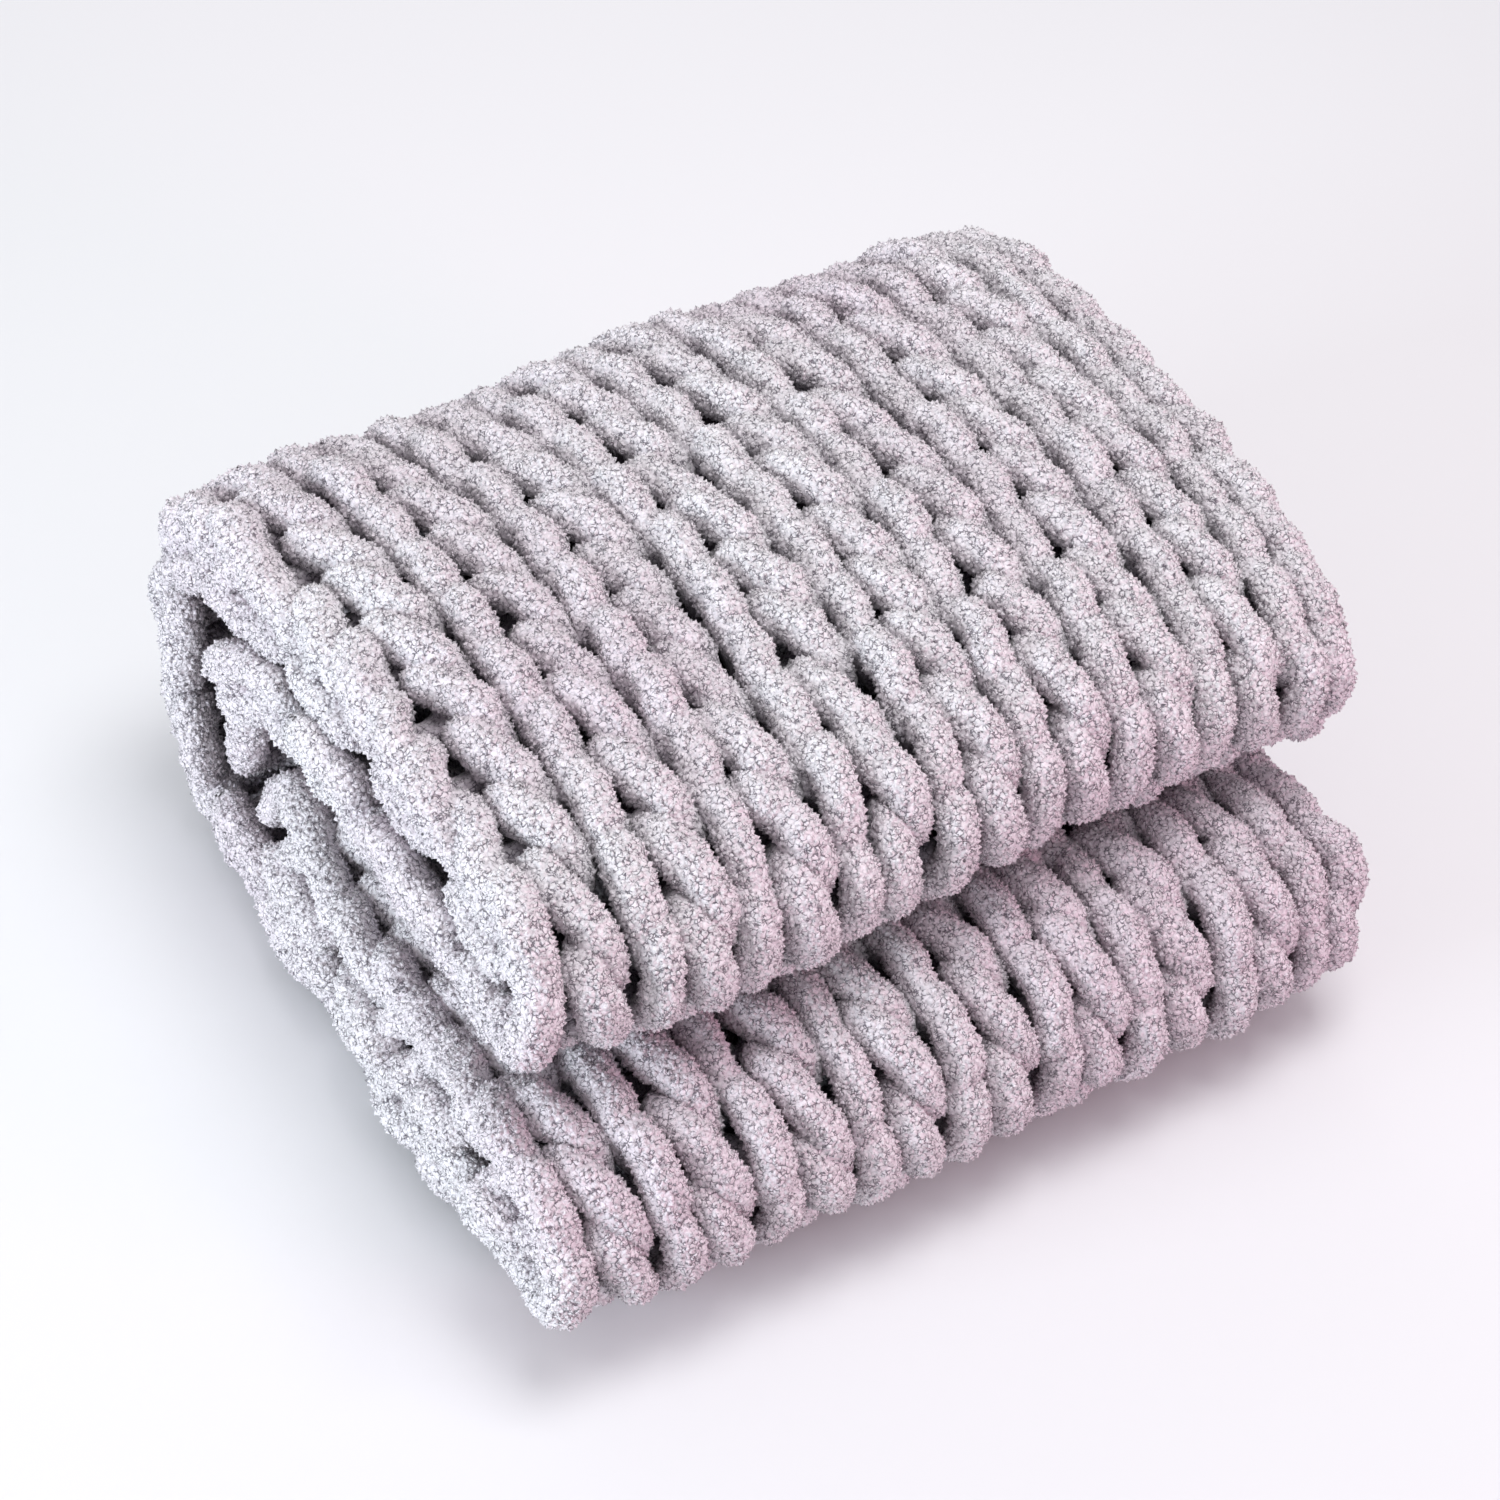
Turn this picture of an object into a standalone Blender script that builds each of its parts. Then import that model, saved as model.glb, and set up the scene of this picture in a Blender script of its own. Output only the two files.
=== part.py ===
"""Chunky knit blanket, folded: one band of thick stockinette in four layers.

The band starts inside, at the back, as the second layer. It runs forward, turns
round the lower front fold, goes back along the floor, climbs round the loose back
fold, comes forward over the top, turns round the upper front fold and ends inside
as the third layer, whose cast-off end hangs down behind the second layer's end.
The knit side, with its columns of V stitches, is the outer side all the way.

Metres, +Z up. Left and right are -X and +X, the front is -Y, the floor is Z = 0.
"""
from typing import NamedTuple

import bmesh
import bpy
import numpy as np

# Driving dimensions
WALES = 9               # columns of V stitches across the band
COURSE = 0.040          # one stitch's length along the band
HALF_CLOTH = 0.026      # middle of the cloth to its crests, on either side
HALF_PURL = 0.022       # middle of the cloth to the plain purl side
LEG_GROOVE = 0.007      # depth of the groove between the two legs of a V
WALE_GROOVE = 0.012     # depth of the groove between neighbouring columns
PINCH = 0.005           # depth of the dip where one stitch enters the next
V_SPREAD = 0.004        # how far a leg leans out from the foot of its V to the top
UNEVEN = 0.0016         # how far one stitch stands higher or lower than the next
SELVEDGE_ROLL = 0.055   # width of the selvedge that rolls towards the purl side
SELVEDGE_ROUND = 0.012  # how far the round of the selvedge stands out sideways
PURL_TUCK = 0.004       # how far the purl side stops short of that round
END_ROUND = 0.008       # length of the rounding at the cast-on and cast-off ends
END_SQUEEZE = 0.6       # thickness left at those two ends
FOLD_SQUEEZE = 0.8      # most of a bend's inner radius that the purl side fills

# Sampling
PER_SPAN = 24           # samples between two stations of the fold line
SMOOTHING = 24          # passes that even out the bends of the sampled line
BEND_REACH = 6          # samples to either side that count for the direction at one
COLUMNS_PER_WALE = 4    # groove, leg, groove of the V, leg
PURL_SPANS = 9          # spans across the plain purl side
PHASES = (0.0, 0.36, 0.70)   # rows within one stitch, from its foot to its top
SELVEDGE_ARC = ((0.45, 0.62), (1.0, 0.0), (0.45, -0.62))   # out and up, as parts of their sizes
SEED = 9                # picks how unevenly the stitches stand out
PLAIN_RELIEF = 0.05     # a stretch with less relief than this has one row per stitch

# Colour and surface of the yarn
YARN_COLOUR = (0.62, 0.60, 0.63, 1.0)
YARN_ROUGHNESS = 0.95


class Station(NamedTuple):
    """One place along the fold line, the middle of the cloth seen from its left end."""

    place: str
    y: float        # towards the back
    z: float        # height
    left: float     # the left selvedge
    right: float    # the right selvedge
    relief: float   # how far the stitches stand out there, 0 to 1
    curl: float     # how far the selvedges roll towards the purl side


FOLD_LINE = (
    Station("cast-on end", 0.076, 0.081, -0.226, 0.208, 0.0, 0.004),
    Station("second layer", -0.014, 0.087, -0.234, 0.210, 0.0, 0.007),
    Station("second layer front", -0.108, 0.099, -0.240, 0.212, 0.3, 0.011),
    Station("lower fold top", -0.166, 0.107, -0.242, 0.212, 1.0, 0.012),
    Station("lower fold upper", -0.202, 0.095, -0.243, 0.210, 1.0, 0.011),
    Station("lower fold front", -0.216, 0.066, -0.243, 0.209, 1.0, 0.010),
    Station("lower fold lower", -0.202, 0.037, -0.244, 0.210, 1.0, 0.011),
    Station("lower fold bottom", -0.162, 0.025, -0.244, 0.212, 0.0, 0.012),
    Station("first layer front", -0.080, 0.026, -0.244, 0.214, 0.0, 0.010),
    Station("first layer back", 0.108, 0.026, -0.242, 0.218, 0.0, 0.005),
    Station("back fold bottom", 0.176, 0.034, -0.240, 0.222, 0.6, 0.006),
    Station("back fold lower", 0.205, 0.070, -0.238, 0.226, 1.0, 0.008),
    Station("back fold middle", 0.212, 0.125, -0.236, 0.234, 1.0, 0.010),
    Station("back fold upper", 0.204, 0.178, -0.234, 0.240, 1.0, 0.010),
    Station("back fold top", 0.164, 0.213, -0.230, 0.242, 1.0, 0.011),
    Station("top layer back", 0.098, 0.222, -0.226, 0.243, 1.0, 0.013),
    Station("top layer", 0.008, 0.225, -0.222, 0.242, 1.0, 0.013),
    Station("top layer front", -0.077, 0.221, -0.222, 0.237, 1.0, 0.010),
    Station("upper fold top", -0.127, 0.214, -0.224, 0.232, 1.0, 0.005),
    Station("upper fold upper", -0.149, 0.204, -0.226, 0.230, 1.0, 0.003),
    Station("upper fold front", -0.158, 0.185, -0.228, 0.227, 1.0, 0.002),
    Station("upper fold lower", -0.149, 0.166, -0.228, 0.225, 1.0, 0.003),
    Station("upper fold bottom", -0.127, 0.157, -0.228, 0.224, 1.0, 0.005),
    Station("third layer front", -0.067, 0.154, -0.228, 0.222, 0.3, 0.009),
    Station("third layer", 0.033, 0.149, -0.226, 0.222, 0.0, 0.012),
    Station("third layer back", 0.090, 0.141, -0.226, 0.216, 0.0, 0.012),
    Station("cast-off bend", 0.121, 0.118, -0.226, 0.214, 0.0, 0.006),
    Station("cast-off end", 0.128, 0.084, -0.226, 0.212, 0.0, 0.002),
)

# How the folded pile has settled, applied to every point alike
FRONT_SKEW = 0.040      # the upper front fold lies further back at its right end
BACK_LIFT = 0.012       # the right back corner stands higher
TOP_WAVE = 0.0035       # slow rise and fall of the top from left to right
SIDE_SWAY = 0.004       # slow sway of the columns to the left and right
HEIGHT = 0.250          # height at which the rise and fall is at its full size
TO_ORIGIN = (-0.0008, 0.0014)   # brings the middle of the settled pile over the origin


def ramp(value, start, end):
    """Smooth step from 0 at start to 1 at end."""
    t = np.clip((value - start) / (end - start), 0.0, 1.0)
    return t * t * (3.0 - 2.0 * t)


def settle(points):
    """Moves points of the straight fold to where the soft pile has settled."""
    x, y, z = points[..., 0], points[..., 1], points[..., 2]
    high = np.clip(z / HEIGHT, 0.0, 1.1)
    front = ramp(z, 0.125, 0.175) * ramp(-y, 0.02, 0.15)
    corner = ramp(x, 0.13, 0.23) * ramp(y, 0.04, 0.17)
    settled_x = x + TO_ORIGIN[0] + SIDE_SWAY * high * np.sin(14.0 * y + 0.8)
    settled_y = y + TO_ORIGIN[1] + FRONT_SKEW * x * front + 0.003 * high * np.sin(17.0 * x)
    settled_z = z + high * (BACK_LIFT * corner + TOP_WAVE * np.sin(19.0 * x + 1.0))
    return np.stack([settled_x, settled_y, settled_z], axis=-1)


def fold_samples():
    """Runs a smooth curve through the stations: one row of table values per sample."""
    table = np.array([station[1:] for station in FOLD_LINE])
    last = len(table) - 1
    rows = []
    for i in range(last):
        before, start, end, after = (table[k] for k in (max(i - 1, 0), i, i + 1, min(i + 2, last)))
        for t in np.arange(PER_SPAN) / PER_SPAN:
            rows.append(0.5 * (2.0 * start + (end - before) * t
                               + (2.0 * before - 5.0 * start + 4.0 * end - after) * t ** 2
                               + (3.0 * start - before - 3.0 * end + after) * t ** 3))
    rows.append(table[last])
    rows = np.array(rows)
    for _ in range(SMOOTHING):
        rows[1:-1] = 0.25 * rows[:-2] + 0.5 * rows[1:-1] + 0.25 * rows[2:]
    return rows


class FoldLine:
    """The middle line of the folded cloth, looked up by the length along it."""

    def __init__(self):
        rows = fold_samples()
        steps = np.hypot(np.diff(rows[:, 0]), np.diff(rows[:, 1]))
        self.lengths = np.concatenate([[0.0], np.cumsum(steps)])
        self.length = self.lengths[-1]
        self.rows = rows
        angle = np.unwrap(np.arctan2(np.gradient(rows[:, 1]), np.gradient(rows[:, 0])))
        window = np.ones(2 * BEND_REACH + 1) / (2 * BEND_REACH + 1)
        self.angle = np.convolve(np.pad(angle, BEND_REACH, mode="edge"), window, mode="valid")
        self.bend = np.gradient(self.angle, self.lengths)

    def at(self, length):
        """Table values at a length, with the outward direction and the bend there."""
        values = [np.interp(length, self.lengths, column) for column in self.rows.T]
        angle = np.interp(length, self.lengths, self.angle)
        bend = np.interp(length, self.lengths, self.bend)
        outward = np.array([0.0, np.sin(angle), -np.cos(angle)])
        return values, outward, bend


def stitch_depth(column, phase):
    """How far a point of the knit side lies below the crests, and its lean to the right."""
    place = column % COLUMNS_PER_WALE
    if place == 0:
        return WALE_GROOVE, 0.0
    if place == COLUMNS_PER_WALE // 2:
        return LEG_GROOVE, 0.0
    side = -1.0 if place == 1 else 1.0
    dip = PINCH if phase == 0.0 else 0.0
    return dip, side * V_SPREAD * (phase - 0.5)


def flat_section(left, right, relief, phase, heights):
    """Outline of the flat cloth, from selvedge to selvedge over the knit side and back."""
    columns = WALES * COLUMNS_PER_WALE
    outline = []
    for column in range(1, columns):
        depth, lean = stitch_depth(column, phase)
        across = left + (right - left) * column / columns
        outline.append((across + relief * lean, HALF_CLOTH - relief * (depth - heights[column])))
    outline += [(right + SELVEDGE_ROUND * out, HALF_CLOTH * up) for out, up in SELVEDGE_ARC]
    for across in np.linspace(right - PURL_TUCK, left + PURL_TUCK, PURL_SPANS + 1):
        outline.append((across, -HALF_PURL))
    outline += [(left - SELVEDGE_ROUND * out, HALF_CLOTH * up) for out, up in reversed(SELVEDGE_ARC)]
    return np.array(outline).T


def section_ring(line, length, phase, heights, squeeze=1.0):
    """One closed section across the folded cloth, standing on the fold line at a length."""
    (y, z, left, right, relief, curl), outward, bend = line.at(length)
    across, height = flat_section(left, right, relief, phase, heights)
    room = min(1.0, FOLD_SQUEEZE / (bend * HALF_PURL)) if bend > 0.0 else 1.0
    height = np.where(height < 0.0, height * room, height) * squeeze
    to_edge = np.minimum(across - left, right - across)
    height -= curl * (1.0 - ramp(to_edge, -SELVEDGE_ROUND, SELVEDGE_ROLL))
    points = settle(np.stack([across, y + outward[1] * height, z + outward[2] * height], axis=-1))
    points[:, 2] = np.maximum(points[:, 2], 0.0)
    return points


def row_places(line):
    """Lengths and phases of all rows: close together only where the stitches show."""
    courses = round(line.length / COURSE)
    rows = []
    for course in range(courses):
        for phase in PHASES:
            length = (course + phase) * line.length / courses
            relief = line.at(length)[0][4]
            if phase == 0.0 or relief > PLAIN_RELIEF:
                rows.append((length, phase, course))
    return rows


def blanket_rings():
    """All section rings, from the cast-on end to the cast-off end."""
    line = FoldLine()
    rows = row_places(line)
    rng = np.random.default_rng(SEED)
    heights = rng.uniform(-UNEVEN, UNEVEN, (rows[-1][2] + 1, WALES * COLUMNS_PER_WALE))
    rings = [section_ring(line, 0.0, 0.0, heights[0], END_SQUEEZE)]
    for length, phase, course in rows:
        rings.append(section_ring(line, length + END_ROUND, phase, heights[course]))
    rings.append(section_ring(line, line.length, 0.0, heights[-1], END_SQUEEZE))
    return rings


def make_yarn_material():
    """Soft matt chenille yarn in a pale silver grey."""
    material = bpy.data.materials.new("chenille_yarn")
    material.use_nodes = True
    shader = material.node_tree.nodes["Principled BSDF"]
    shader.inputs["Base Color"].default_value = YARN_COLOUR
    shader.inputs["Roughness"].default_value = YARN_ROUGHNESS
    shader.inputs["Metallic"].default_value = 0.0
    return material


def make_blanket(collection):
    """Lofts the section rings into the one closed solid of the folded blanket."""
    mesh = bpy.data.meshes.new("knit_blanket")
    bm = bmesh.new()
    loops = [[bm.verts.new(point) for point in ring] for ring in blanket_rings()]
    count = len(loops[0])
    for ring, following in zip(loops, loops[1:]):
        for i in range(count):
            j = (i + 1) % count
            bm.faces.new((ring[i], ring[j], following[j], following[i]))
    bm.faces.new(loops[0])
    bm.faces.new(loops[-1])
    bmesh.ops.recalc_face_normals(bm, faces=bm.faces[:])
    bmesh.ops.triangulate(bm, faces=bm.faces[:])
    bm.to_mesh(mesh)
    bm.free()
    mesh.materials.append(make_yarn_material())
    mesh.shade_smooth()
    blanket = bpy.data.objects.new("knit_blanket", mesh)
    collection.objects.link(blanket)
    return blanket


def main():
    """Clears the scene and builds the blanket in its own collection."""
    for thing in list(bpy.data.objects):
        bpy.data.objects.remove(thing, do_unlink=True)
    collection = bpy.data.collections.new("folded_knit_blanket")
    bpy.context.scene.collection.children.link(collection)
    make_blanket(collection)


main()
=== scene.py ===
"""Looks of the folded chunky knit blanket.

One long chenille yarn is knitted row by row as a flat stockinette band, and the band is
then laid along the fold line of the pile, with the knit side outside. The cut pile of the
chenille stands on the yarn as small crumbs, and the material draws the cracks between them.

Metres, +Z up, the front at -Y. The fold line repeats the frame's own solid, which the
yarn pieces replace.
"""
import logging
import math
from dataclasses import dataclass, field
from enum import Enum
from typing import Any, NamedTuple

import bpy
import numpy as np
from mathutils import Matrix, Vector


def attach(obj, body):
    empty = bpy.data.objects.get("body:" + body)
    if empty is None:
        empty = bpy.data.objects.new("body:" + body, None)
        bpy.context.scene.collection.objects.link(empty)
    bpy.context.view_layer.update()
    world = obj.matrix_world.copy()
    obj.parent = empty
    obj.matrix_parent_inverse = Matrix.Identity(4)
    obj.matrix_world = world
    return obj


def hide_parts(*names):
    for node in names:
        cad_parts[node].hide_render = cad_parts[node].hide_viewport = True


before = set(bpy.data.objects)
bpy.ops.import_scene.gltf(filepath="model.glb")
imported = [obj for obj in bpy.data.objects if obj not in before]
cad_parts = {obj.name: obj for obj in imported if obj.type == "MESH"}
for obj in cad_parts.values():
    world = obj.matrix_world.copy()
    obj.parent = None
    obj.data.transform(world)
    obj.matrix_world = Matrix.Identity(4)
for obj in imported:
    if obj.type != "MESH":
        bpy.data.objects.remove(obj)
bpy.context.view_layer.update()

LOG = logging.getLogger("knit_blanket")
NODE = "knit_blanket"
BODY = "root"
MM = 0.001


# Fold line

class Station(NamedTuple):
    """One place along the fold line, the middle of the cloth seen from its left end."""

    place: str
    y: float        # towards the back
    z: float        # height
    left: float     # the left selvedge
    right: float    # the right selvedge
    curl: float     # how far the selvedges roll towards the purl side


STATIONS = (
    Station("cast-on end", 0.092, 0.084, -0.234, 0.208, 0.006),
    Station("second layer", -0.014, 0.088, -0.238, 0.210, 0.010),
    Station("second layer front", -0.108, 0.099, -0.240, 0.212, 0.011),
    Station("lower fold top", -0.166, 0.107, -0.242, 0.212, 0.012),
    Station("lower fold upper", -0.202, 0.095, -0.240, 0.210, 0.011),
    Station("lower fold front", -0.216, 0.066, -0.236, 0.209, 0.010),
    Station("lower fold lower", -0.202, 0.037, -0.236, 0.210, 0.011),
    Station("lower fold bottom", -0.162, 0.025, -0.240, 0.212, 0.012),
    Station("first layer front", -0.080, 0.026, -0.244, 0.214, 0.010),
    Station("first layer back", 0.108, 0.026, -0.242, 0.218, 0.005),
    Station("back fold bottom", 0.176, 0.034, -0.240, 0.222, 0.006),
    Station("back fold lower", 0.205, 0.070, -0.238, 0.226, 0.008),
    Station("back fold middle", 0.212, 0.125, -0.236, 0.234, 0.010),
    Station("back fold upper", 0.204, 0.178, -0.234, 0.240, 0.010),
    Station("back fold top", 0.164, 0.213, -0.230, 0.242, 0.011),
    Station("top layer back", 0.098, 0.222, -0.226, 0.243, 0.013),
    Station("top layer", 0.008, 0.225, -0.222, 0.242, 0.013),
    Station("top layer front", -0.077, 0.221, -0.222, 0.237, 0.010),
    Station("upper fold top", -0.127, 0.214, -0.224, 0.232, 0.005),
    Station("upper fold upper", -0.149, 0.204, -0.226, 0.230, 0.003),
    Station("upper fold front", -0.158, 0.185, -0.228, 0.227, 0.002),
    Station("upper fold lower", -0.149, 0.166, -0.228, 0.225, 0.003),
    Station("upper fold bottom", -0.127, 0.157, -0.228, 0.224, 0.005),
    Station("third layer front", -0.067, 0.154, -0.228, 0.222, 0.009),
    Station("third layer", 0.033, 0.151, -0.232, 0.222, 0.014),
    Station("third layer back", 0.092, 0.146, -0.234, 0.216, 0.014),
    Station("cast-off bend", 0.125, 0.123, -0.236, 0.214, 0.008),
    Station("cast-off end", 0.131, 0.087, -0.236, 0.212, 0.004),
)


def ramp(value: np.ndarray, start: float, end: float) -> np.ndarray:
    """Steps smoothly from 0 at start to 1 at end.

    Args:
        value: Numbers to map.
        start: Where the step begins.
        end: Where the step is complete.

    Returns:
        Numbers from 0 to 1.
    """
    t = np.clip((value - start) / (end - start), 0.0, 1.0)
    return t * t * (3.0 - 2.0 * t)


@dataclass(frozen=True)
class Settling:
    """How the soft pile has sunk and shifted, as one smooth movement of space."""

    height: float = 0.250           # of the pile; the movements grow with it
    most_height: float = 1.1        # share of the height where they stop growing
    front_skew: float = 0.040
    front_rise: tuple[float, float] = (0.125, 0.175)
    front_reach: tuple[float, float] = (0.02, 0.15)
    back_lift: float = 0.012
    corner_across: tuple[float, float] = (0.13, 0.23)
    corner_back: tuple[float, float] = (0.04, 0.17)
    top_wave: float = 0.0035
    top_rate: float = 19.0          # waves, in radians per metre
    top_phase: float = 1.0
    side_sway: float = 0.004
    side_rate: float = 14.0
    side_phase: float = 0.8
    depth_wave: float = 0.003
    depth_rate: float = 17.0
    to_origin: tuple[float, float] = (-0.0008, 0.0014)

    def apply(self, points: np.ndarray) -> np.ndarray:
        """Moves points of the straight fold to where they have settled.

        Args:
            points: Points as rows of x, y, z.

        Returns:
            The moved points.
        """
        x, y, z = points.T
        high = np.clip(z / self.height, 0.0, self.most_height)
        front = ramp(z, *self.front_rise) * ramp(-y, *self.front_reach)
        corner = ramp(x, *self.corner_across) * ramp(y, *self.corner_back)
        sway = np.sin(self.side_rate * y + self.side_phase)
        wave = np.sin(self.top_rate * x + self.top_phase)
        moved = np.empty_like(points)
        moved[:, 0] = x + self.to_origin[0] + self.side_sway * high * sway
        moved[:, 1] = y + self.to_origin[1] + self.front_skew * x * front
        moved[:, 1] += self.depth_wave * high * np.sin(self.depth_rate * x)
        moved[:, 2] = z + high * (self.back_lift * corner + self.top_wave * wave)
        return moved


@dataclass
class FoldLine:
    """The middle line of the folded cloth, looked up by the length along it."""

    stations: tuple[Station, ...] = STATIONS
    settling: Settling = field(default_factory=Settling)
    per_span: int = 24              # samples between two stations
    smoothing: int = 24             # passes over the samples
    bend_reach: int = 6             # samples to each side that share in a direction
    least_bend: float = 1e-6        # per metre; less counts as straight
    half_purl: float = 0.022        # thickness of the purl side, squeezed in the folds
    fold_squeeze: float = 0.8
    roll: float = 0.055             # how far from the selvedge the roll begins
    round: float = 0.012            # how far past the selvedge the roll goes on
    floor: float = 0.0006           # lowest height of the yarn

    def __post_init__(self) -> None:
        """Samples the line once, with its direction and its bend."""
        self.rows = self._samples()
        steps = np.hypot(np.diff(self.rows[:, 0]), np.diff(self.rows[:, 1]))
        self.lengths = np.concatenate([[0.0], np.cumsum(steps)])
        self.length = float(self.lengths[-1])
        raw = np.unwrap(np.arctan2(np.gradient(self.rows[:, 1]), np.gradient(self.rows[:, 0])))
        window = np.ones(2 * self.bend_reach + 1) / (2 * self.bend_reach + 1)
        self.angle = np.convolve(np.pad(raw, self.bend_reach, mode="edge"), window, mode="valid")
        self.bend = np.gradient(self.angle, self.lengths)

    def _samples(self) -> np.ndarray:
        """Runs a smooth curve through the stations.

        Returns:
            One row of y, z, left, right and curl for each sample.
        """
        table = np.array([station[1:] for station in self.stations])
        last = len(table) - 1
        rows = []
        for i in range(last):
            around = (max(i - 1, 0), i, i + 1, min(i + 2, last))
            before, start, end, after = (table[k] for k in around)
            for t in np.arange(self.per_span) / self.per_span:
                rows.append(0.5 * (2.0 * start + (end - before) * t
                                   + (2.0 * before - 5.0 * start + 4.0 * end - after) * t ** 2
                                   + (3.0 * start - before - 3.0 * end + after) * t ** 3))
        rows = np.array(rows + [table[last]])
        for _ in range(self.smoothing):
            rows[1:-1] = 0.25 * rows[:-2] + 0.5 * rows[1:-1] + 0.25 * rows[2:]
        return rows

    def length_at(self, place: str) -> float:
        """Finds the length along the line at a named station.

        Args:
            place: The station's name.

        Returns:
            Metres from the cast-on end.
        """
        index = [station.place for station in self.stations].index(place)
        return float(self.lengths[index * self.per_span])

    def lay(self, flat: np.ndarray, band_width: float) -> np.ndarray:
        """Lays points of the flat band on the folded and settled pile.

        Args:
            flat: Rows of across, along and out, where out is towards the knit side.
            band_width: Width of the flat band between its selvedges.

        Returns:
            The points where the folded cloth has them.
        """
        across, along, out = flat.T
        held = np.clip(along, 0.0, self.length)
        beyond = along - held
        y, z, left, right, curl = (np.interp(held, self.lengths, c) for c in self.rows.T)
        angle = np.interp(held, self.lengths, self.angle)
        bend = np.maximum(np.interp(held, self.lengths, self.bend), self.least_bend)
        room = np.minimum(1.0, self.fold_squeeze / (bend * self.half_purl))
        out = np.where(out < 0.0, out * room, out)
        x = left + (right - left) * across / band_width
        to_edge = np.minimum(x - left, right - x)
        out = out - curl * (1.0 - ramp(to_edge, -self.round, self.roll))
        y = y + np.cos(angle) * beyond + np.sin(angle) * out
        z = z + np.sin(angle) * beyond - np.cos(angle) * out
        points = self.settling.apply(np.stack([x, y, z], axis=-1))
        points[:, 2] = np.maximum(points[:, 2], self.floor)
        return points


# Node building

def add_node(tree: bpy.types.NodeTree, kind: str, settings: dict[str, Any] | None = None,
             links: dict[Any, bpy.types.NodeSocket] | None = None,
             values: dict[Any, Any] | None = None) -> bpy.types.Node:
    """Adds a node with its settings, its input values and its links.

    Args:
        tree: The tree that gets the node.
        kind: The node's type name.
        settings: Properties of the node.
        links: Output sockets by the name or index of the input that they feed.
        values: Constants by the name or index of their input.

    Returns:
        The new node.
    """
    node = tree.nodes.new(kind)
    for name, value in (settings or {}).items():
        setattr(node, name, value)
    for key, value in (values or {}).items():
        node.inputs[key].default_value = value
    for key, socket in (links or {}).items():
        tree.links.new(socket, node.inputs[key])
    return node


def linear(hex_colour: str) -> tuple[float, float, float, float]:
    """Turns an sRGB hex colour into linear light.

    Args:
        hex_colour: Six hex digits after a hash sign.

    Returns:
        Red, green, blue and an alpha of 1.
    """
    parts = [int(hex_colour[i:i + 2], 16) / 255.0 for i in (1, 3, 5)]
    light = [c / 12.92 if c <= 0.04045 else ((c + 0.055) / 1.055) ** 2.4 for c in parts]
    return light[0], light[1], light[2], 1.0


def node_group(name: str, inputs: dict[str, tuple[str, Any]]) -> tuple[Any, Any, Any]:
    """Starts a Geometry Nodes tree with named inputs.

    Args:
        name: The tree's name.
        inputs: Socket type and default value by input name.

    Returns:
        The tree, its input node and its output node.
    """
    tree = bpy.data.node_groups.new(name, "GeometryNodeTree")
    tree.interface.new_socket("Geometry", in_out="INPUT", socket_type="NodeSocketGeometry")
    tree.interface.new_socket("Geometry", in_out="OUTPUT", socket_type="NodeSocketGeometry")
    for label, (kind, value) in inputs.items():
        socket = tree.interface.new_socket(label, in_out="INPUT", socket_type=kind)
        if value is not None:
            socket.default_value = value
    return tree, tree.nodes.new("NodeGroupInput"), tree.nodes.new("NodeGroupOutput")


def run_nodes(piece: bpy.types.Object, tree: bpy.types.NodeTree,
              values: dict[str, Any]) -> bpy.types.Mesh:
    """Evaluates a tree on an object and returns the result as a plain mesh.

    Args:
        piece: The object that carries the tree's modifier for the moment.
        tree: The Geometry Nodes tree.
        values: Values by input name.

    Returns:
        A new mesh, free of modifiers.
    """
    modifier = piece.modifiers.new(tree.name, "NODES")
    modifier.node_group = tree
    identifiers = {item.name: item.identifier for item in tree.interface.items_tree
                   if item.item_type == "SOCKET" and item.in_out == "INPUT"}
    for name, value in values.items():
        modifier[identifiers[name]] = value
    bpy.context.view_layer.update()
    evaluated = piece.evaluated_get(bpy.context.evaluated_depsgraph_get())
    mesh = bpy.data.meshes.new_from_object(evaluated)
    piece.modifiers.remove(modifier)
    return mesh


# Finishes

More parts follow.
